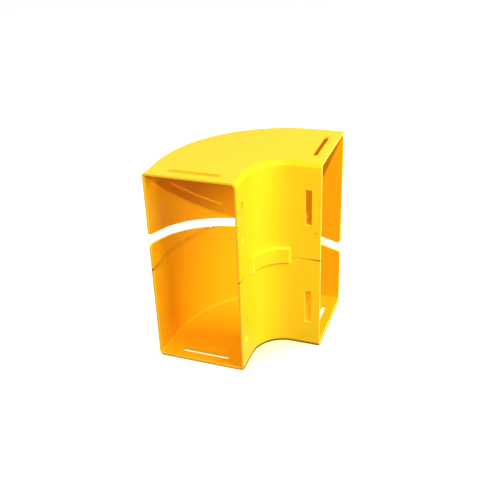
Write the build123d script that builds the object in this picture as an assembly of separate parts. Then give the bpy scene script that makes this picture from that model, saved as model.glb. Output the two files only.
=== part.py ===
from build123d import *
import os
from math import degrees, pi, sqrt

os.makedirs("parts", exist_ok=True)

# A ninety degree elbow of fibre raceway. It stands on its flat side, with the bend axis upright.
# The duct is rectangular and open at both ends. Two half shells meet in a butt seam at mid height,
# and a strap bridges the seam on the inside of the bend. A slanting slit runs along the whole outer
# wall, so that fibres can be laid in sideways. It crosses the seam in the middle of the bend, and
# leaves a wedge of wall beside the seam at each end.
# The origin is the middle of the overall box, on the underside. +Z is up, one leg points to -Y and
# the other to +X.

# The duct, in millimetres. Both shells have the same height.
shell_height = 123
duct_depth = 111
wall = 3
inner_bend_radius = 39
leg_length = 35
bend_angle = 90

# Rounded long edges, outside and inside the duct, and the rims of its ends.
upper_inner_edge_radius = 6.5
lower_inner_edge_radius = 4.5
upper_outer_edge_radius = 3
lower_outer_edge_radius = 5.5
upper_inner_corner_fillet = 4
lower_inner_corner_fillet = 2
upper_outer_corner_fillet = 1
lower_outer_corner_fillet = 2.5
rim_radius = 0.7

# The butt seam between the half shells has broken edges.
seam_groove = 0.5

# The slit in the outer wall. Its middle line is a straight slope on the unrolled wall.
slit_gap = 12
slit_rise_at_end = 40
slit_mouth_radius = 4.5
wedge_tip_height = 1.5

# The coupling slots near both ends.
face_slot_width = 6.5
side_slot_width = 8
slot_from_end = 15
slot_corner_radius = 0.8
face_slot_length = 63
side_slot_length = 45
side_slot_from_seam = 67.5

# The strap over the seam, on the outside of the inner wall. More of it lies above the seam than below.
strap_thickness = 4
strap_height = 21
strap_raise = 2.5
strap_angle = 87
strap_edge_radius = 1.5

# How far cutting tools reach past what they cut, and how near an edge lies to a plane that holds it.
overrun = 2
closeness = 0.001

# Worked out from the sizes above.
height = 2 * shell_height
seam_height = shell_height
outer_bend_radius = inner_bend_radius + duct_depth
overall = outer_bend_radius + leg_length
middle_radius = (inner_bend_radius + outer_bend_radius) / 2
inner_wall_radius = inner_bend_radius + wall / 2
outer_wall_radius = outer_bend_radius - wall / 2
half_cut = wall / 2 + overrun
bend_path = outer_wall_radius * pi / 2
slit_slope = 2 * slit_rise_at_end / (bend_path + 2 * leg_length)
slit_bend_rise = slit_slope * bend_path
slit_bend_start = seam_height - slit_bend_rise / 2
tip_from_middle = degrees((slit_gap / 2 + wedge_tip_height) / slit_slope / outer_wall_radius)

seam_plane = Plane.XY.offset(seam_height)


def on_far_leg(tool):
    """A tool for the near leg, which lies beside the XZ plane, mirrored to the leg past the bend."""
    return Rot(0, 0, bend_angle) * mirror(tool, about=Plane.XZ)


def on_both_legs(tool):
    return tool + on_far_leg(tool)


def along_duct(section):
    """A section, drawn as distance from the bend axis and height, run along the whole duct."""
    face = Plane.XZ * section
    return revolve(face, Axis.Z, bend_angle) + on_both_legs(extrude(face, leg_length))


def rounded_section(near, far, low, high, radii):
    """A rectangle with its own radius at each corner, counted round from the lower near one."""
    corners = ((near, low), (far, low), (far, high), (near, high))
    outline = make_face(Polyline(*corners, close=True))
    for corner, radius in zip(corners, radii):
        outline = fillet(outline.vertices().sort_by_distance(corner)[0], radius)
    return outline


def duct_tube():
    """The plain tube of the elbow, before anything is cut."""
    outside = rounded_section(
        inner_bend_radius, outer_bend_radius, 0, height,
        (lower_inner_edge_radius, lower_outer_edge_radius,
         upper_outer_edge_radius, upper_inner_edge_radius))
    inside = rounded_section(
        inner_bend_radius + wall, outer_bend_radius - wall, wall, height - wall,
        (lower_inner_corner_fillet, lower_outer_corner_fillet,
         upper_outer_corner_fillet, upper_inner_corner_fillet))
    return along_duct(outside - inside)


def leg_slit():
    """The straight part of the slit on the near leg. It runs down to the end and has a rounded mouth."""
    mouth_height = seam_height - slit_rise_at_end
    half_gap = slit_gap / 2
    band = make_face(Polyline(
        (0, slit_bend_start - half_gap), (0, slit_bend_start + half_gap),
        (-leg_length, mouth_height + half_gap), (-leg_length, mouth_height - half_gap), close=True))
    wall_view = Pos(-leg_length / 2, mouth_height) * Rectangle(leg_length, 2 * (slit_gap + slit_rise_at_end))
    kept_wall = wall_view - band
    for corner_height in (mouth_height - half_gap, mouth_height + half_gap):
        corner = kept_wall.vertices().sort_by_distance((-leg_length, corner_height))[0]
        kept_wall = fillet(corner, slit_mouth_radius)
    return extrude(Pos(outer_wall_radius, 0, 0) * (Plane.YZ * (wall_view - kept_wall)), half_cut, both=True)


def slit_tools():
    """The slit as three cuts: a helical one round the bend, and a straight one on each leg."""
    helix = Pos(0, 0, slit_bend_start) * Helix(4 * slit_bend_rise, slit_bend_rise, outer_wall_radius)
    section = Pos(outer_wall_radius, 0, slit_bend_start) * (Plane.XZ * Rectangle(2 * half_cut, slit_gap))
    near = leg_slit()
    far = near.rotate(Axis((0, 0, seam_height), (1, 1, 0)), 180)
    return [sweep(section, path=helix, is_frenet=True), near, far]


def round_rims(duct):
    """Rounds the rims of both ends. The rounding follows the slit's mouths all along its edges."""
    end_plane = (-leg_length - closeness, -leg_length + closeness)
    near_rim = duct.edges().filter_by_position(Axis.Y, *end_plane)
    far_rim = duct.edges().filter_by_position(Axis.X, *end_plane)
    return fillet(near_rim + far_rim, rim_radius)


def coupling_slots():
    """Two slots in the flat sides and two in the inner wall at each end of the duct."""
    along = slot_from_end - leg_length
    flat_view = RectangleRounded(face_slot_length, face_slot_width, slot_corner_radius)
    flat = extrude(flat_view, half_cut, both=True)
    upright_view = Plane.YZ * RectangleRounded(side_slot_width, side_slot_length, slot_corner_radius)
    upright = extrude(upright_view, half_cut, both=True)
    slots = []
    for level in (wall / 2, height - wall / 2):
        slots.append(on_both_legs(Pos(middle_radius, along, level) * flat))
    for level in (seam_height - side_slot_from_seam, seam_height + side_slot_from_seam):
        slots.append(on_both_legs(Pos(inner_wall_radius, along, level) * upright))
    return slots


def seam_grooves():
    """V grooves along the seam, on both faces of both walls and across the walls' ends."""
    notch = Rot(0, 0, 45) * Rectangle(seam_groove * sqrt(2), seam_groove * sqrt(2))
    grooves = []
    for wall_middle in (inner_wall_radius, outer_wall_radius):
        for radius in (wall_middle - wall / 2, wall_middle + wall / 2):
            grooves.append(along_duct(Pos(radius, seam_height) * notch))
        across = Pos(wall_middle, -leg_length, seam_height) * (Plane.YZ * notch)
        grooves.append(on_both_legs(extrude(across, half_cut, both=True)))
    return grooves


def joining_strap():
    """The curved strap over the seam, with the edges of its outer face rounded."""
    section = Rectangle(strap_thickness, strap_height)
    strap_radius = inner_bend_radius - strap_thickness / 2
    placed = Pos(strap_radius, seam_height + strap_raise) * section
    strap = revolve(Plane.XZ * placed, Axis.Z, strap_angle)
    front = strap.faces().filter_by(GeomType.CYLINDER).sort_by(lambda face: face.radius)[0]
    return Rot(0, 0, (bend_angle - strap_angle) / 2) * fillet(front.edges(), strap_edge_radius)


def blunt_wedge(wedge, tip_angle, kept_side):
    """Squares off the thin end of a wedge strip, where the slit comes down to the seam."""
    end_plane = Plane((0, 0, 0), x_dir=(0, 0, 1), z_dir=Vector(0, 1, 0).rotate(Axis.Z, tip_angle))
    return split(wedge, end_plane, kept_side)


def finished_pieces():
    """Every piece by name, still placed about the bend axis."""
    duct = round_rims(duct_tube() - slit_tools()) - coupling_slots() - seam_grooves()
    left_wedge, upper_shell = split(duct, seam_plane, Keep.TOP).solids().sort_by(SortBy.VOLUME)
    right_wedge, lower_shell = split(duct, seam_plane, Keep.BOTTOM).solids().sort_by(SortBy.VOLUME)
    return {
        "upper_half_shell": upper_shell,
        "lower_half_shell": lower_shell,
        "left_wedge_strip": blunt_wedge(left_wedge, bend_angle / 2 + tip_from_middle, Keep.TOP),
        "right_wedge_strip": blunt_wedge(right_wedge, bend_angle / 2 - tip_from_middle, Keep.BOTTOM),
        "joining_strap": joining_strap(),
    }


bend_axis = outer_bend_radius - overall / 2
place = Pos(bend_axis, -bend_axis, 0) * Rot(0, 0, bend_angle)
for name, piece in finished_pieces().items():
    export_step(place * piece, "parts/" + name + ".step")
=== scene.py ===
"""Dresses the packed fibre raceway elbow: moulded plastic, cement and a plain studio."""
from collections import namedtuple
from math import pi, radians

import bmesh
import bpy
from bpy.props import FloatProperty, FloatVectorProperty, PointerProperty
from bpy.types import Operator, Panel, PropertyGroup
from mathutils import Matrix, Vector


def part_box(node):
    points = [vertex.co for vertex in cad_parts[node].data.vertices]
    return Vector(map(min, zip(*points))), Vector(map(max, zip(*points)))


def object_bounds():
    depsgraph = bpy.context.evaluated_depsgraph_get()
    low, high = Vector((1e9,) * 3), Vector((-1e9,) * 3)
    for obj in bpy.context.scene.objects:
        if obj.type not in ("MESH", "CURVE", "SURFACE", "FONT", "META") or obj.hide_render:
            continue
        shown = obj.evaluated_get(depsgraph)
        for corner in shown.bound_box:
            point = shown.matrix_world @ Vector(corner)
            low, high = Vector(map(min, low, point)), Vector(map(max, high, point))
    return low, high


bl_info = {
    "name": "Fibre raceway elbow",
    "version": (1, 0, 0),
    "blender": (4, 5, 0),
    "location": "3D View > Sidebar > Elbow",
    "description": "Finishes the moulded shells, the strap and its cement, and sets up the studio",
    "category": "Object",
}

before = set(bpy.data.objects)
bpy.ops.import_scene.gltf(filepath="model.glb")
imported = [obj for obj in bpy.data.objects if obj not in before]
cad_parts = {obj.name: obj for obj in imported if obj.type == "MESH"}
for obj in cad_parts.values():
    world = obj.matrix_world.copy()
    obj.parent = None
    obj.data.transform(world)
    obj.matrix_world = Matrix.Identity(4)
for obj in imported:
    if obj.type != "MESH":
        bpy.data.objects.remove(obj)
cad_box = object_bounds()

SHELL_NODES = ("upper_half_shell", "lower_half_shell", "left_wedge_strip", "right_wedge_strip")
STRAP_NODE = "joining_strap"
SEAM_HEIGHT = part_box("upper_half_shell")[0].z
END_PLANE = cad_box[1].x

WHITE = (1, 1, 1, 1)


# Sizes and colours that a user would change

class MouldedPlastic(PropertyGroup):
    """The yellow plastic of the shells and the strap."""

    colour: FloatVectorProperty(
        name="Colour", description="Main colour of the moulding", subtype="COLOR",
        size=4, min=0, max=1, default=(0.97, 0.65, 0.014, 1))
    deep_colour: FloatVectorProperty(
        name="Deep colour", description="Colour where the pigment is denser", subtype="COLOR",
        size=4, min=0, max=1, default=(0.96, 0.61, 0.012, 1))
    # Painted shade: a deeper orange on the faces inside the duct, in place of the shade in there.
    inside_shade_colour: FloatVectorProperty(
        name="Inside colour", description="Colour of the faces inside the duct", subtype="COLOR",
        size=4, min=0, max=1, default=(0.96, 0.46, 0.006, 1))
    strap_colour: FloatVectorProperty(
        name="Strap colour", description="Main colour of the strap", subtype="COLOR",
        size=4, min=0, max=1, default=(0.97, 0.65, 0.015, 1))
    # Stains of the wiped cement, and painted shade in the seam's dark line and in the dark spots.
    dirt_and_shade_colour: FloatVectorProperty(
        name="Dirt colour", description="Colour of the dirt in the seam and in the nicks",
        subtype="COLOR", size=4, min=0, max=1, default=(0.16, 0.04, 0.002, 1))
    smear_colour: FloatVectorProperty(
        name="Smear colour", description="Colour of the cement wiped along the seam",
        subtype="COLOR", size=4, min=0, max=1, default=(1.0, 0.76, 0.07, 1))
    # Squeezed out cement, and a painted highlight on the strap's top edge.
    cement_and_highlight_colour: FloatVectorProperty(
        name="Cement colour", description="Colour of the squeezed out cement", subtype="COLOR",
        size=4, min=0, max=1, default=(1.0, 0.72, 0.26, 1))
    # On the strap's edges this colour is a painted highlight.
    edge_and_highlight_colour: FloatVectorProperty(
        name="Edge colour", description="Colour of the slit's cut walls and the strap's edges",
        subtype="COLOR", size=4, min=0, max=1, default=(1.0, 0.9, 0.03, 1))
    # Painted light on the side slots' walls and on the right end's rim.
    lit_slot_and_rim_colour: FloatVectorProperty(
        name="Slot colour", description="Colour of the side slots' walls and the right end's rim",
        subtype="COLOR", size=4, min=0, max=1, default=(1.0, 0.97, 0.06, 1))
    # Painted shade: the left end's rim is a darker orange than the lit right end's.
    shaded_rim_colour: FloatVectorProperty(
        name="Rim colour", description="Colour of the left end's rim", subtype="COLOR",
        size=4, min=0, max=1, default=(1.0, 0.57, 0.03, 1))
    roughness: FloatProperty(
        name="Roughness", description="Roughness of the moulded skin", subtype="FACTOR",
        min=0, max=1, default=0.34)
    grain_height: FloatProperty(
        name="Grain height", description="Height of the fine mould grain", unit="LENGTH",
        default=0.00002)
    wave_height: FloatProperty(
        name="Wave height", description="Height of the broad waves in the walls", unit="LENGTH",
        default=0.00008)


class ElbowSizes(PropertyGroup):
    """The sizes of the moulded duct that its finish follows."""

    inner_bend_radius: FloatProperty(
        name="Inner bend radius", description="Radius of the inner wall's outside in the bend",
        unit="LENGTH", default=0.039)
    outer_bend_radius: FloatProperty(
        name="Outer bend radius", description="Radius of the outer wall's outside in the bend",
        unit="LENGTH", default=0.150)
    wall: FloatProperty(
        name="Wall", description="Thickness of every wall", unit="LENGTH", default=0.003)


class StudioSetup(PropertyGroup):
    """The camera, the lamps and the floor."""

    aim: FloatVectorProperty(
        name="Aim", description="Point that the camera turns about", subtype="TRANSLATION",
        default=(-0.02393, 0.02393, 0.123))
    azimuth: FloatProperty(
        name="Azimuth", description="Turn of the camera from the front", subtype="ANGLE",
        default=radians(20.92))
    elevation: FloatProperty(
        name="Elevation", description="Height of the camera over the floor", subtype="ANGLE",
        default=radians(27.83))
    roll: FloatProperty(
        name="Roll", description="Tilt of the camera", subtype="ANGLE", default=radians(-2.327))
    distance: FloatProperty(
        name="Distance", description="Distance of the camera", unit="LENGTH", default=0.9385)
    focal_length: FloatProperty(
        name="Focal length", description="Focal length of the lens", unit="CAMERA", default=52.87)
    sensor_width: FloatProperty(
        name="Sensor width", description="Width of the camera's sensor", unit="CAMERA", default=36)
    shift_x: FloatProperty(name="Shift X", description="Sideways lens shift", default=0.0204)
    shift_y: FloatProperty(name="Shift Y", description="Upright lens shift", default=-0.0355)
    key_azimuth: FloatProperty(
        name="Key azimuth", description="Turn of the key lamp", subtype="ANGLE",
        default=radians(21))
    key_elevation: FloatProperty(
        name="Key elevation", description="Height of the key lamp", subtype="ANGLE",
        default=radians(37.5))
    key_distance: FloatProperty(
        name="Key distance", description="Distance of the key lamp", unit="LENGTH", default=1.75)
    key_radius: FloatProperty(
        name="Key radius", description="Radius of the key lamp", unit="LENGTH", default=0.012)
    key_strength: FloatProperty(
        name="Key strength", description="Light of the key lamp, where 1 shows white as white",
        default=0.575)
    key_colour: FloatVectorProperty(
        name="Key colour", description="Colour of the key lamp's light", subtype="COLOR",
        size=3, min=0, max=1, default=(1.0, 0.91, 0.85))
    side_azimuth: FloatProperty(
        name="Side azimuth", description="Turn of the side lamp", subtype="ANGLE",
        default=radians(84))
    side_elevation: FloatProperty(
        name="Side elevation", description="Height of the side lamp", subtype="ANGLE",
        default=radians(36))
    side_distance: FloatProperty(
        name="Side distance", description="Distance of the side lamp", unit="LENGTH", default=1.7)
    side_size: FloatProperty(
        name="Side size", description="Width of the side lamp", unit="LENGTH", default=0.9)
    side_strength: FloatProperty(
        name="Side strength", description="Light of the side lamp, where 1 shows white as white",
        default=0.995)
    back_azimuth: FloatProperty(
        name="Back azimuth", description="Turn of the back lamp", subtype="ANGLE",
        default=radians(229))
    back_elevation: FloatProperty(
        name="Back elevation", description="Height of the back lamp", subtype="ANGLE",
        default=radians(11))
    back_distance: FloatProperty(
        name="Back distance", description="Distance of the back lamp", unit="LENGTH", default=1.7)
    back_size: FloatProperty(
        name="Back size", description="Width of the back lamp", unit="LENGTH", default=0.6)
    back_strength: FloatProperty(
        name="Back strength", description="Light of the back lamp, where 1 shows white as white",
        default=0.95)
    ambient: FloatProperty(
        name="Ambient", description="Light from all round", default=0.27)
    floor_colour: FloatVectorProperty(
        name="Floor colour", description="Colour of the floor for the light that bounces off it",
        subtype="COLOR", size=4, min=0, max=1, default=(0.26, 0.26, 0.26, 1))
    floor_whiteness: FloatProperty(
        name="Floor whiteness",
        description="Share of plain white that the camera sees in the floor",
        subtype="FACTOR", min=0, max=1, default=0.6)
    floor_glow: FloatProperty(
        name="Floor glow", description="Brightness of that plain white", default=1.43)
    contact_reach: FloatProperty(
        name="Contact reach", description="How far from the object its contact shadow reaches",
        unit="LENGTH", default=0.0026)
    bounce_reach: FloatProperty(
        name="Bounce reach", description="How far the object's own colour reaches over the floor",
        unit="LENGTH", default=0.06)
    bounce_colour: FloatVectorProperty(
        name="Bounce colour", description="Colour of the floor right beside the object",
        subtype="COLOR", size=4, min=0, max=1, default=(0.96, 0.94, 0.45, 1))
    contact_colour: FloatVectorProperty(
        name="Contact colour", description="Colour of the floor where the object touches it",
        subtype="COLOR", size=4, min=0, max=1, default=(0.16, 0.045, 0.0, 1))


# Building blocks for nodes

def add(tree, kind, values=None, **settings):
    """A node with its settings, and with plain values for its inputs by label."""
    node = tree.nodes.new(kind)
    for key, value in settings.items():
        setattr(node, key, value)
    for label, value in (values or {}).items():
        node.inputs[label].default_value = value
    return node


def feed(tree, socket, value):
    """Links an output to this input, or sets the input to a plain value."""
    if isinstance(value, bpy.types.NodeSocket):
        tree.links.new(value, socket)
    else:
        socket.default_value = value


def calculate(tree, operation, *values):
    """A Math node on numbers or sockets; returns its output."""
    node = add(tree, "ShaderNodeMath", operation=operation)
    for socket, value in zip(node.inputs, values):
        feed(tree, socket, value)
    return node.outputs[0]


def plus(tree, first, second):
    return calculate(tree, "ADD", first, second)


def minus(tree, first, second):
    return calculate(tree, "SUBTRACT", first, second)


def times(tree, first, second):
    return calculate(tree, "MULTIPLY", first, second)


def larger(tree, first, second):
    return calculate(tree, "MAXIMUM", first, second)


def smaller(tree, first, second):
    return calculate(tree, "MINIMUM", first, second)


def difference(tree, first, second):
    """How far two values are apart."""
    return calculate(tree, "ABSOLUTE", minus(tree, first, second))


def fade(tree, value, start, end):
    """1 up to start, changing smoothly to 0 at end. Start may be the larger of the two."""
    node = add(tree, "ShaderNodeMapRange", interpolation_type="SMOOTHSTEP")
    parts = {"Value": value, "From Min": start, "From Max": end, "To Min": 1, "To Max": 0}
    for label, part in parts.items():
        feed(tree, node.inputs[label], part)
    return node.outputs["Result"]


def noise(tree, vector, scale, detail=2.0, roughness=0.5):
    """Noise between 0 and 1, with that many features in a metre."""
    node = add(tree, "ShaderNodeTexNoise",
               values={"Scale": scale, "Detail": detail, "Roughness": roughness})
    tree.links.new(vector, node.inputs["Vector"])
    return node.outputs["Fac"]


def noise_about_zero(tree, vector, scale, height):
    """Noise that wanders to both sides of 0, by half of the height at most."""
    return times(tree, minus(tree, noise(tree, vector, scale), 0.5), height)


def object_place(tree):
    """The place in the part's frame."""
    return add(tree, "ShaderNodeTexCoord").outputs["Object"]


def split_place(tree, place):
    """A place's X, Y and Z."""
    parts = add(tree, "ShaderNodeSeparateXYZ")
    tree.links.new(place, parts.inputs[0])
    return parts.outputs


# Where a Mix node for colours has its two colours and its result, among its sockets for other kinds
MIX_COLOURS_IN = (6, 7)
MIX_COLOUR_OUT = 2


def mix_colour(tree, share, first, second):
    """A mix of two colours or sockets, from the first at share 0 to the second at 1."""
    node = add(tree, "ShaderNodeMix", data_type="RGBA")
    tree.links.new(share, node.inputs["Factor"])
    for index, value in zip(MIX_COLOURS_IN, (first, second)):
        feed(tree, node.inputs[index], value)
    return node.outputs[MIX_COLOUR_OUT]


def new_group(name, inputs, outputs):
    """An empty node group with its sockets. Returns the group, its inputs by label and its end."""
    group = bpy.data.node_groups.new(name, "ShaderNodeTree")
    for label, value in inputs.items():
        socket = group.interface.new_socket(label, in_out="INPUT", socket_type="NodeSocketFloat")
        socket.default_value = value
    for label in outputs:
        group.interface.new_socket(label, in_out="OUTPUT", socket_type="NodeSocketFloat")
    given = group.nodes.new("NodeGroupInput").outputs
    return group, given, group.nodes.new("NodeGroupOutput").inputs


def use_group(tree, name, values=None):
    """The outputs of a node group by label."""
    return add(tree, "ShaderNodeGroup", values, node_tree=bpy.data.node_groups[name]).outputs


# The skin of the moulding. Scales of noise are in features to the metre.

GRAIN_SCALE = 1500
WAVE_SCALE = 22
CLOUD_SCALE = 34
UNEVEN_ROUGHNESS = 0.22


def moulded_skin_group(plastic):
    """Uneven pigment, the mould's fine grain and the broad waves of a thin moulded wall."""
    group, given, out = new_group(
        "moulded skin",
        {"Grain Height": plastic.grain_height, "Wave Height": plastic.wave_height,
         "Roughness": plastic.roughness},
        ("Tone", "Height", "Roughness"))
    place = object_place(group)
    grain = noise(group, place, GRAIN_SCALE, detail=3)
    waves = noise(group, place, WAVE_SCALE, detail=1)
    cloud = noise(group, place, CLOUD_SCALE, detail=4, roughness=0.6)
    height = plus(group, times(group, grain, given["Grain Height"]),
                  times(group, waves, given["Wave Height"]))
    uneven = times(group, minus(group, cloud, 0.5), UNEVEN_ROUGHNESS)
    group.links.new(cloud, out["Tone"])
    group.links.new(height, out["Height"])
    group.links.new(plus(group, given["Roughness"], uneven), out["Roughness"])


# The seam. Pairs are where a mask starts to fade and where it ends.

SEAM_LINE_CORE = 0.0002
SEAM_END_FADE = (0.003, 0.03)
SEAM_PATCH_SCALE = 70
SEAM_PATCH_FADE = (0.62, 0.4)
SEAM_PATCH_SHOWN = 0.3
SEAM_LEAST_SHOWN = 0.3
SEAM_CEMENTED_FADE = (0.03, 0.06)
SEAM_CEMENTED_SHOWN = 0.2

SMEAR_WANDER_SCALE = 60
SMEAR_WANDER = 0.013
SMEAR_CORE = 0.0015
SMEAR_STRETCH = (0.7, 0.15, 4.0)
SMEAR_SCALE = 130
SMEAR_SPLIT = (0.42, 0.52)
WIPED_FADE = (-0.055, -0.02)
WIPED_LEAST = 0.15


def seam_marks_group():
    """The seam's dark line, painted shade in its gap that widens where it gapes near the duct's
    ends, and the cement wiped along it.
    """
    group, given, out = new_group(
        "seam marks",
        {"Seam Height": SEAM_HEIGHT, "End Plane": END_PLANE, "Line Width": 0.0005,
         "Gape": 0.0006, "Smear Width": 0.006},
        ("Line", "Smear", "Stain"))
    place = object_place(group)
    x, y, z = split_place(group, place)
    rise = minus(group, z, given["Seam Height"])
    from_end = smaller(group, plus(group, y, given["End Plane"]),
                       minus(group, given["End Plane"], x))
    near_end = fade(group, from_end, *SEAM_END_FADE)

    width = plus(group, given["Line Width"], times(group, near_end, given["Gape"]))
    patches = fade(group, noise(group, place, SEAM_PATCH_SCALE), *SEAM_PATCH_FADE)
    patchy = plus(group, times(group, patches, SEAM_PATCH_SHOWN), SEAM_LEAST_SHOWN)
    shown = larger(group, near_end, patchy)
    # The cement fills the seam best on the right leg's outer wall.
    open_seam = fade(group, y, *SEAM_CEMENTED_FADE)
    open_share = plus(group, times(group, open_seam, 1 - SEAM_CEMENTED_SHOWN), SEAM_CEMENTED_SHOWN)
    shown = times(group, shown, open_share)
    off_line = calculate(group, "ABSOLUTE", rise)
    line = times(group, fade(group, off_line, SEAM_LINE_CORE, width), shown)

    # The cement was wiped along the wall, so its streaks are long and low. The left leg's outer
    # wall has the most of it.
    wander = noise_about_zero(group, place, SMEAR_WANDER_SCALE, SMEAR_WANDER)
    off_smear = calculate(group, "ABSOLUTE", plus(group, rise, wander))
    wiped = larger(group, fade(group, x, *WIPED_FADE), WIPED_LEAST)
    band = times(group, fade(group, off_smear, SMEAR_CORE, given["Smear Width"]), wiped)
    stretch = add(group, "ShaderNodeMapping", values={"Scale": SMEAR_STRETCH})
    group.links.new(place, stretch.inputs["Vector"])
    streaks = noise(group, stretch.outputs["Vector"], SMEAR_SCALE, detail=3, roughness=0.6)
    light = fade(group, streaks, *SMEAR_SPLIT)
    group.links.new(line, out["Line"])
    group.links.new(times(group, band, light), out["Smear"])
    group.links.new(times(group, band, minus(group, 1, light)), out["Stain"])


# Spots. The stretch divides a spot's width along each axis. The core is the share of its reach that
# has its full strength.

Spot = namedtuple("Spot", "centre stretch reach strength")
SPOT_CORE = 0.6
CEMENT_AND_HIGHLIGHT_SPOTS = (
    Spot((0.0195, -0.0545, 0.1175), (1, 1, 0.7), 0.0034, 1),    # the strap's lower left corner
    # The next spot is a painted highlight on the strap's top edge.
    Spot((0.0453, -0.0232, 0.1360), (1, 1, 1), 0.0015, 1),      # the strap's top edge
)
# Dark spots: nicks, and painted shade.
NICKS_AND_SHADE_SPOTS = (
    Spot((0.0868, -0.0185, 0.1592), (0.5, 1, 1.8), 0.0014, 0.4),        # near the right end
    # The next two are painted shade: the notch at the seam's left end, and the top of the left side
    # slot.
    Spot((-0.0910, -0.0925, 0.1228), (0.8, 0.6, 1.3), 0.0015, 1.0),     # the seam's left end
    Spot((0.0185, -0.0768, 0.2160), (1, 0.7, 0.8), 0.0018, 0.9),        # over the left side slot
    Spot((0.0862, 0.0895, 0.1237), (0.35, 1, 1), 0.0012, 0.3),          # in the right end's seam
)


def vector_math(tree, operation, first, second=None):
    """A Vector Math node on a socket and a plain vector."""
    node = add(tree, "ShaderNodeVectorMath", operation=operation)
    tree.links.new(first, node.inputs[0])
    if second is not None:
        node.inputs[1].default_value = second
    return node.outputs


def spot_mask(tree, place, spot):
    """The spot's strength at its centre, and 0 beyond its reach."""
    off = vector_math(tree, "SUBTRACT", place, spot.centre)["Vector"]
    squeezed = vector_math(tree, "MULTIPLY", off, spot.stretch)["Vector"]
    length = vector_math(tree, "LENGTH", squeezed)["Value"]
    return times(tree, fade(tree, length, SPOT_CORE * spot.reach, spot.reach), spot.strength)


def spots_group(name, spots):
    """A mask of these spots."""
    group, _, out = new_group(name, {}, ("Spots",))
    place = object_place(group)
    mask = spot_mask(group, place, spots[0])
    for spot in spots[1:]:
        mask = larger(group, mask, spot_mask(group, place, spot))
    group.links.new(mask, out["Spots"])


# The strap's edges and their painted highlight

HIGHLIGHT_SCALE = 260
HIGHLIGHT_UNEVEN = 0.0016
HIGHLIGHT_CORE = 0.6


def strap_edges_group():
    """A mask of the painted highlight on the strap's edges: its two ends and the top of its outer
    face.
    """
    low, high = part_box(STRAP_NODE)
    group, given, out = new_group(
        "strap edge highlight",
        {"Left End": low.y, "Right End": high.x, "Top": high.z, "Width": 0.0019},
        ("Edge Highlight",))
    place = object_place(group)
    x, y, z = split_place(group, place)
    uneven = noise_about_zero(group, place, HIGHLIGHT_SCALE, HIGHLIGHT_UNEVEN)
    width = plus(group, given["Width"], uneven)
    core = times(group, width, HIGHLIGHT_CORE)
    left = fade(group, minus(group, y, given["Left End"]), core, width)
    right = fade(group, minus(group, given["Right End"], x), core, width)
    top = fade(group, minus(group, given["Top"], z), core, width)
    group.links.new(larger(group, larger(group, left, right), top), out["Edge Highlight"])


# The faces inside the duct and the cut faces. Depths are measured from the walls' faces.

FACE_MARGIN = 0.0001
FACE_SOFTNESS = 0.0004
SKIN_START = 0.0006
SKIN_END = 0.0002
RIM_FADE = (0.0003, 0.0008)
BEHIND_RIM_FADE = (0.004, 0.006)
SIDE_START = 0.001
SLOT_CLEAR_START = 0.012
SLOT_CLEAR_END = 0.01
MIDDLE_SOFTNESS = 0.001


def duct_inside_group(sizes):
    """Masks of the faces inside the duct, of its rims, and of its slots' and slit's cut walls."""
    group, given, out = new_group(
        "duct inside",
        {"Bend Axis": sizes.outer_bend_radius + cad_box[0].x,
         "Inner Radius": sizes.inner_bend_radius, "Outer Radius": sizes.outer_bend_radius,
         "Wall": sizes.wall, "Middle": SEAM_HEIGHT, "End Plane": END_PLANE},
        ("Inside", "Edge", "Side Slot", "Left Rim", "Right Rim"))
    x, y, z = split_place(group, object_place(group))
    wall, axis = given["Wall"], given["Bend Axis"]
    inner_radius, outer_radius = given["Inner Radius"], given["Outer Radius"]

    # On a leg, only the distance across the leg counts, so the other one is held at 0.
    beside = larger(group, minus(group, axis, x), 0)
    beyond = larger(group, plus(group, axis, y), 0)
    squares = plus(group, calculate(group, "POWER", beside, 2),
                   calculate(group, "POWER", beyond, 2))
    out_from_axis = calculate(group, "SQRT", squares)

    middle = times(group, plus(group, inner_radius, outer_radius), 0.5)
    half_depth = minus(group, minus(group, outer_radius, middle), wall)
    half_height = minus(group, given["Middle"], wall)
    off_middle = difference(group, out_from_axis, middle)
    off_seam = difference(group, z, given["Middle"])

    def up_to(distance, half_size, start, end):
        """1 until start past the half size, and 0 from end past it."""
        return fade(group, distance, plus(group, half_size, start), plus(group, half_size, end))

    inside = times(group, up_to(off_middle, half_depth, FACE_MARGIN, FACE_SOFTNESS),
                   up_to(off_seam, half_height, FACE_MARGIN, FACE_SOFTNESS))
    skin_start, skin_end = minus(group, wall, SKIN_START), minus(group, wall, SKIN_END)
    in_wall = times(group, up_to(off_middle, half_depth, skin_start, skin_end),
                    up_to(off_seam, half_height, skin_start, skin_end))
    edge = times(group, in_wall, minus(group, 1, inside))
    beside_flats = up_to(off_seam, half_height, -SIDE_START, 0)
    group.links.new(inside, out["Inside"])
    group.links.new(times(group, edge, beside_flats), out["Edge"])

    from_left = plus(group, y, given["End Plane"])
    from_right = minus(group, given["End Plane"], x)
    for distance, label in ((from_left, "Left Rim"), (from_right, "Right Rim")):
        rim = times(group, in_wall, fade(group, distance, *RIM_FADE))
        group.links.new(rim, out[label])

    # The side slots are cut in the inner wall, behind the rims and clear of the flat sides.
    near_end = fade(group, smaller(group, from_left, from_right), *BEHIND_RIM_FADE)
    inner_half = fade(group, out_from_axis, middle, plus(group, middle, MIDDLE_SOFTNESS))
    clear = up_to(off_seam, half_height, -SLOT_CLEAR_START, -SLOT_CLEAR_END)
    slot = times(group, times(group, minus(group, 1, near_end), inner_half), clear)
    group.links.new(times(group, edge, slot), out["Side Slot"])


# The materials

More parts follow.
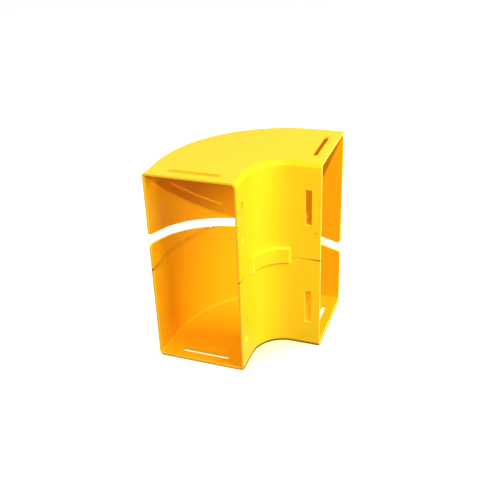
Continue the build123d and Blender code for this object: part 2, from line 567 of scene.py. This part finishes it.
EDGE_STRENGTH = 0.5
SMEAR_STRENGTH = 0.18
STAIN_STRENGTH = 0.2
LINE_STRENGTH = 0.92
SMEAR_HEIGHT = 0.0002
EDGE_HIGHLIGHT_STRENGTH = 0.55
CEMENT_AND_HIGHLIGHT_STRENGTH = 0.6
PLASTIC_IOR = 1.5
PLASTIC_SPECULAR = 0.06


def new_material(name):
    """An empty material. Returns it, its tree and its Principled BSDF."""
    material = bpy.data.materials.new(name)
    material.use_nodes = True
    tree = material.node_tree
    return material, tree, tree.nodes["Principled BSDF"]


def paint(tree, under, mask, strength, colour):
    """A colour with another painted over it, by the mask and the strength."""
    return mix_colour(tree, times(tree, mask, strength), under, colour)


def shell_marks(tree, shade, height, plastic):
    """The painted shade inside the duct, the painted light on the side slots and the right rim, the
    painted shade on the left rim, and the cut edges, seam and dark spots of the shells and wedge
    strips.
    """
    duct = use_group(tree, "duct inside")
    # Painted shade on the faces inside the duct.
    shade = mix_colour(tree, duct["Inside"], shade, plastic.inside_shade_colour)
    shade = paint(tree, shade, duct["Edge"], EDGE_STRENGTH, plastic.edge_and_highlight_colour)
    # Painted light on the side slots' walls and the right end's rim, and painted shade on the left
    # end's rim.
    shade = mix_colour(tree, duct["Side Slot"], shade, plastic.lit_slot_and_rim_colour)
    shade = mix_colour(tree, duct["Right Rim"], shade, plastic.lit_slot_and_rim_colour)
    shade = mix_colour(tree, duct["Left Rim"], shade, plastic.shaded_rim_colour)
    seam = use_group(tree, "seam marks")
    shade = paint(tree, shade, seam["Smear"], SMEAR_STRENGTH, plastic.smear_colour)
    shade = paint(tree, shade, seam["Stain"], STAIN_STRENGTH, plastic.dirt_and_shade_colour)
    # Painted shade: the seam's dark line, in its gap.
    shade = paint(tree, shade, seam["Line"], LINE_STRENGTH, plastic.dirt_and_shade_colour)
    # Dark spots: nicks, and painted shade in the notch at the seam's left end and at the top of the
    # left side slot.
    shade = mix_colour(tree, use_group(tree, "nicks and shade spots")["Spots"], shade, plastic.dirt_and_shade_colour)
    return shade, plus(tree, height, times(tree, seam["Smear"], SMEAR_HEIGHT))


def strap_marks(tree, shade, height, plastic):
    """The painted highlight on the strap's edges, and the cement squeezed out on it, with a painted
    highlight on its top edge.
    """
    # Painted highlight along the strap's edges.
    edge_highlight = use_group(tree, "strap edge highlight")["Edge Highlight"]
    shade = paint(tree, shade, edge_highlight, EDGE_HIGHLIGHT_STRENGTH, plastic.edge_and_highlight_colour)
    # Squeezed out cement, and a painted highlight on the strap's top edge.
    cement = use_group(tree, "cement and highlight spots")["Spots"]
    return paint(tree, shade, cement, CEMENT_AND_HIGHLIGHT_STRENGTH, plastic.cement_and_highlight_colour), height


def moulded_material(name, colour, plastic, marks):
    """Satin plastic of that colour, with the marks that belong to its pieces."""
    material, tree, shader = new_material(name)
    skin = use_group(tree, "moulded skin",
                     {"Grain Height": plastic.grain_height, "Wave Height": plastic.wave_height,
                      "Roughness": plastic.roughness})
    shade = mix_colour(tree, skin["Tone"], colour, plastic.deep_colour)
    shade, height = marks(tree, shade, skin["Height"], plastic)
    bump = add(tree, "ShaderNodeBump", values={"Distance": 1.0, "Strength": 1.0})
    tree.links.new(height, bump.inputs["Height"])
    tree.links.new(shade, shader.inputs["Base Color"])
    tree.links.new(skin["Roughness"], shader.inputs["Roughness"])
    tree.links.new(bump.outputs["Normal"], shader.inputs["Normal"])
    shader.inputs["IOR"].default_value = PLASTIC_IOR
    shader.inputs["Specular IOR Level"].default_value = PLASTIC_SPECULAR
    return material


def put_on(node_name, material):
    """Gives every slot of a piece this material."""
    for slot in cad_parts[node_name].material_slots:
        slot.material = material


class ELBOW_OT_shells(Operator):
    """Give both half shells and both wedge strips their moulded plastic"""

    bl_idname = "elbow.shells"
    bl_label = "Finish shells and wedge strips"

    def execute(self, context):
        plastic = context.scene.elbow_plastic
        moulded_skin_group(plastic)
        seam_marks_group()
        duct_inside_group(context.scene.elbow_sizes)
        spots_group("nicks and shade spots", NICKS_AND_SHADE_SPOTS)
        yellow = moulded_material("moulded yellow", plastic.colour, plastic, shell_marks)
        for name in SHELL_NODES:
            put_on(name, yellow)
        return {"FINISHED"}


class ELBOW_OT_strap(Operator):
    """Give the joining strap its moulded plastic"""

    bl_idname = "elbow.strap"
    bl_label = "Finish the joining strap"

    def execute(self, context):
        plastic = context.scene.elbow_plastic
        strap_edges_group()
        spots_group("cement and highlight spots", CEMENT_AND_HIGHLIGHT_SPOTS)
        yellow = moulded_material("strap yellow", plastic.strap_colour, plastic, strap_marks)
        put_on(STRAP_NODE, yellow)
        return {"FINISHED"}


# The studio

FLOOR_SIZE = 4
FLOOR_DROP = 0.0001
FLOOR_ROUGHNESS = 0.9
CONTACT_FADE = (0.35, 0.9)
BOUNCE_FADE = (0.3, 0.95)
# A point lamp spreads its power all round, so it needs more than an area lamp for the same light.
POINT_LAMP_FACTOR = 4


def link(thing):
    """Puts an object in the scene."""
    bpy.context.scene.collection.objects.link(thing)
    return thing


def area_power(strength, distance):
    """The power of an area lamp. At strength 1 it shows white as white, at that distance."""
    return pi * pi * strength * distance ** 2


def hang(data, aim, azimuth, elevation, distance, roll=0):
    """Puts a lamp or camera on that side of the aim and at that height, looking at it."""
    thing = link(bpy.data.objects.new(data.name, data))
    side = Matrix.Rotation(azimuth, 4, "Z") @ Matrix.Rotation(pi / 2 - elevation, 4, "X")
    turn = side @ Matrix.Rotation(roll, 4, "Z")
    thing.matrix_world = Matrix.Translation(aim) @ turn @ Matrix.Translation((0, 0, distance))
    return thing


def seeing_rays(tree):
    """1 for camera, mirror and glass rays, and 0 for the rays that carry light about."""
    path = add(tree, "ShaderNodeLightPath").outputs
    rays = larger(tree, path["Is Camera Ray"], path["Is Glossy Ray"])
    return larger(tree, rays, path["Is Transmission Ray"])


def white_to_camera(tree, seen, lit, share):
    """Shows one shader to seeing rays, by that share, and the other to the rest."""
    mix = add(tree, "ShaderNodeMixShader")
    tree.links.new(times(tree, seeing_rays(tree), share), mix.inputs[0])
    tree.links.new(lit.outputs[0], mix.inputs[1])
    tree.links.new(seen.outputs[0], mix.inputs[2])
    return mix.outputs[0]


def near_object(tree, reach, start, end):
    """1 on the floor beside the object, and 0 out of its reach."""
    openness = add(tree, "ShaderNodeAmbientOcclusion", values={"Distance": reach}).outputs["AO"]
    return fade(tree, openness, start, end)


class ELBOW_OT_studio(Operator):
    """Set up the floor, the lamps, the white surroundings and the camera"""

    bl_idname = "elbow.studio"
    bl_label = "Set up the studio"

    def execute(self, context):
        studio = context.scene.elbow_studio
        self.floor(studio)
        self.surroundings(context.scene, studio)
        self.lamps(studio)
        self.camera(context.scene, studio)
        context.scene.view_settings.view_transform = "Standard"
        return {"FINISHED"}

    def floor(self, studio):
        shape = bmesh.new()
        bmesh.ops.create_grid(shape, x_segments=1, y_segments=1, size=FLOOR_SIZE)
        bmesh.ops.translate(shape, verts=shape.verts, vec=(0, 0, -FLOOR_DROP))
        mesh = bpy.data.meshes.new("studio_floor")
        shape.to_mesh(mesh)
        shape.free()
        mesh.materials.append(self.floor_material(studio))
        link(bpy.data.objects.new("studio_floor", mesh))

    def floor_material(self, studio):
        """Near white for the camera, darkest under the object's edge, and grey for the light."""
        material, tree, shader = new_material("studio floor")
        touching = near_object(tree, studio.contact_reach, *CONTACT_FADE)
        beside = near_object(tree, studio.bounce_reach, *BOUNCE_FADE)
        bounce = mix_colour(tree, beside, WHITE, studio.bounce_colour)
        seen_colour = mix_colour(tree, touching, bounce, studio.contact_colour)
        colour = mix_colour(tree, seeing_rays(tree), studio.floor_colour, seen_colour)
        tree.links.new(colour, shader.inputs["Base Color"])
        shader.inputs["Roughness"].default_value = FLOOR_ROUGHNESS
        shader.inputs["Specular IOR Level"].default_value = 0
        white = add(tree, "ShaderNodeEmission", values={"Strength": studio.floor_glow})
        tree.links.new(seen_colour, white.inputs["Color"])
        seen = white_to_camera(tree, white, shader, studio.floor_whiteness)
        tree.links.new(seen, tree.nodes["Material Output"].inputs["Surface"])
        return material

    def surroundings(self, scene, studio):
        world = bpy.data.worlds.new("studio surroundings")
        scene.world = world
        world.use_nodes = True
        tree = world.node_tree
        lit = tree.nodes["Background"]
        lit.inputs["Color"].default_value = WHITE
        lit.inputs["Strength"].default_value = studio.ambient
        white = add(tree, "ShaderNodeBackground", values={"Color": WHITE, "Strength": 1.0})
        seen = white_to_camera(tree, white, lit, 1)
        tree.links.new(seen, tree.nodes["World Output"].inputs["Surface"])

    def lamps(self, studio):
        key = bpy.data.lights.new("key_lamp", "POINT")
        key.shadow_soft_size = studio.key_radius
        key.color = studio.key_colour
        key.energy = POINT_LAMP_FACTOR * area_power(studio.key_strength, studio.key_distance)
        hang(key, studio.aim, studio.key_azimuth, studio.key_elevation, studio.key_distance)
        side = bpy.data.lights.new("side_lamp", "AREA")
        side.size = studio.side_size
        side.energy = area_power(studio.side_strength, studio.side_distance)
        hang(side, studio.aim, studio.side_azimuth, studio.side_elevation, studio.side_distance)
        back = bpy.data.lights.new("back_lamp", "AREA")
        back.size = studio.back_size
        back.energy = area_power(studio.back_strength, studio.back_distance)
        hang(back, studio.aim, studio.back_azimuth, studio.back_elevation, studio.back_distance)

    def camera(self, scene, studio):
        lens = bpy.data.cameras.new("camera")
        lens.lens = studio.focal_length
        lens.sensor_width = studio.sensor_width
        lens.shift_x = studio.shift_x
        lens.shift_y = studio.shift_y
        scene.camera = hang(lens, studio.aim, studio.azimuth, studio.elevation, studio.distance,
                            studio.roll)


class ELBOW_PT_panel(Panel):
    """Sizes, colours and steps of the elbow"""

    bl_idname = "ELBOW_PT_panel"
    bl_label = "Fibre raceway elbow"
    bl_space_type = "VIEW_3D"
    bl_region_type = "UI"
    bl_category = "Elbow"

    def draw(self, context):
        scene = context.scene
        for group in (scene.elbow_sizes, scene.elbow_plastic, scene.elbow_studio):
            box = self.layout.box()
            for name in group.bl_rna.properties.keys():
                if name not in ("rna_type", "name"):
                    box.prop(group, name)
        for step in STEPS:
            self.layout.operator(step.bl_idname)


STEPS = (ELBOW_OT_shells, ELBOW_OT_strap, ELBOW_OT_studio)
CLASSES = (ElbowSizes, MouldedPlastic, StudioSetup, *STEPS, ELBOW_PT_panel)


def register():
    for part in CLASSES:
        bpy.utils.register_class(part)
    bpy.types.Scene.elbow_sizes = PointerProperty(type=ElbowSizes)
    bpy.types.Scene.elbow_plastic = PointerProperty(type=MouldedPlastic)
    bpy.types.Scene.elbow_studio = PointerProperty(type=StudioSetup)


def unregister():
    del bpy.types.Scene.elbow_studio
    del bpy.types.Scene.elbow_plastic
    del bpy.types.Scene.elbow_sizes
    for part in reversed(CLASSES):
        bpy.utils.unregister_class(part)


def main():
    register()
    bpy.ops.elbow.shells()
    bpy.ops.elbow.strap()
    bpy.ops.elbow.studio()


if __name__ == "__main__":
    main()
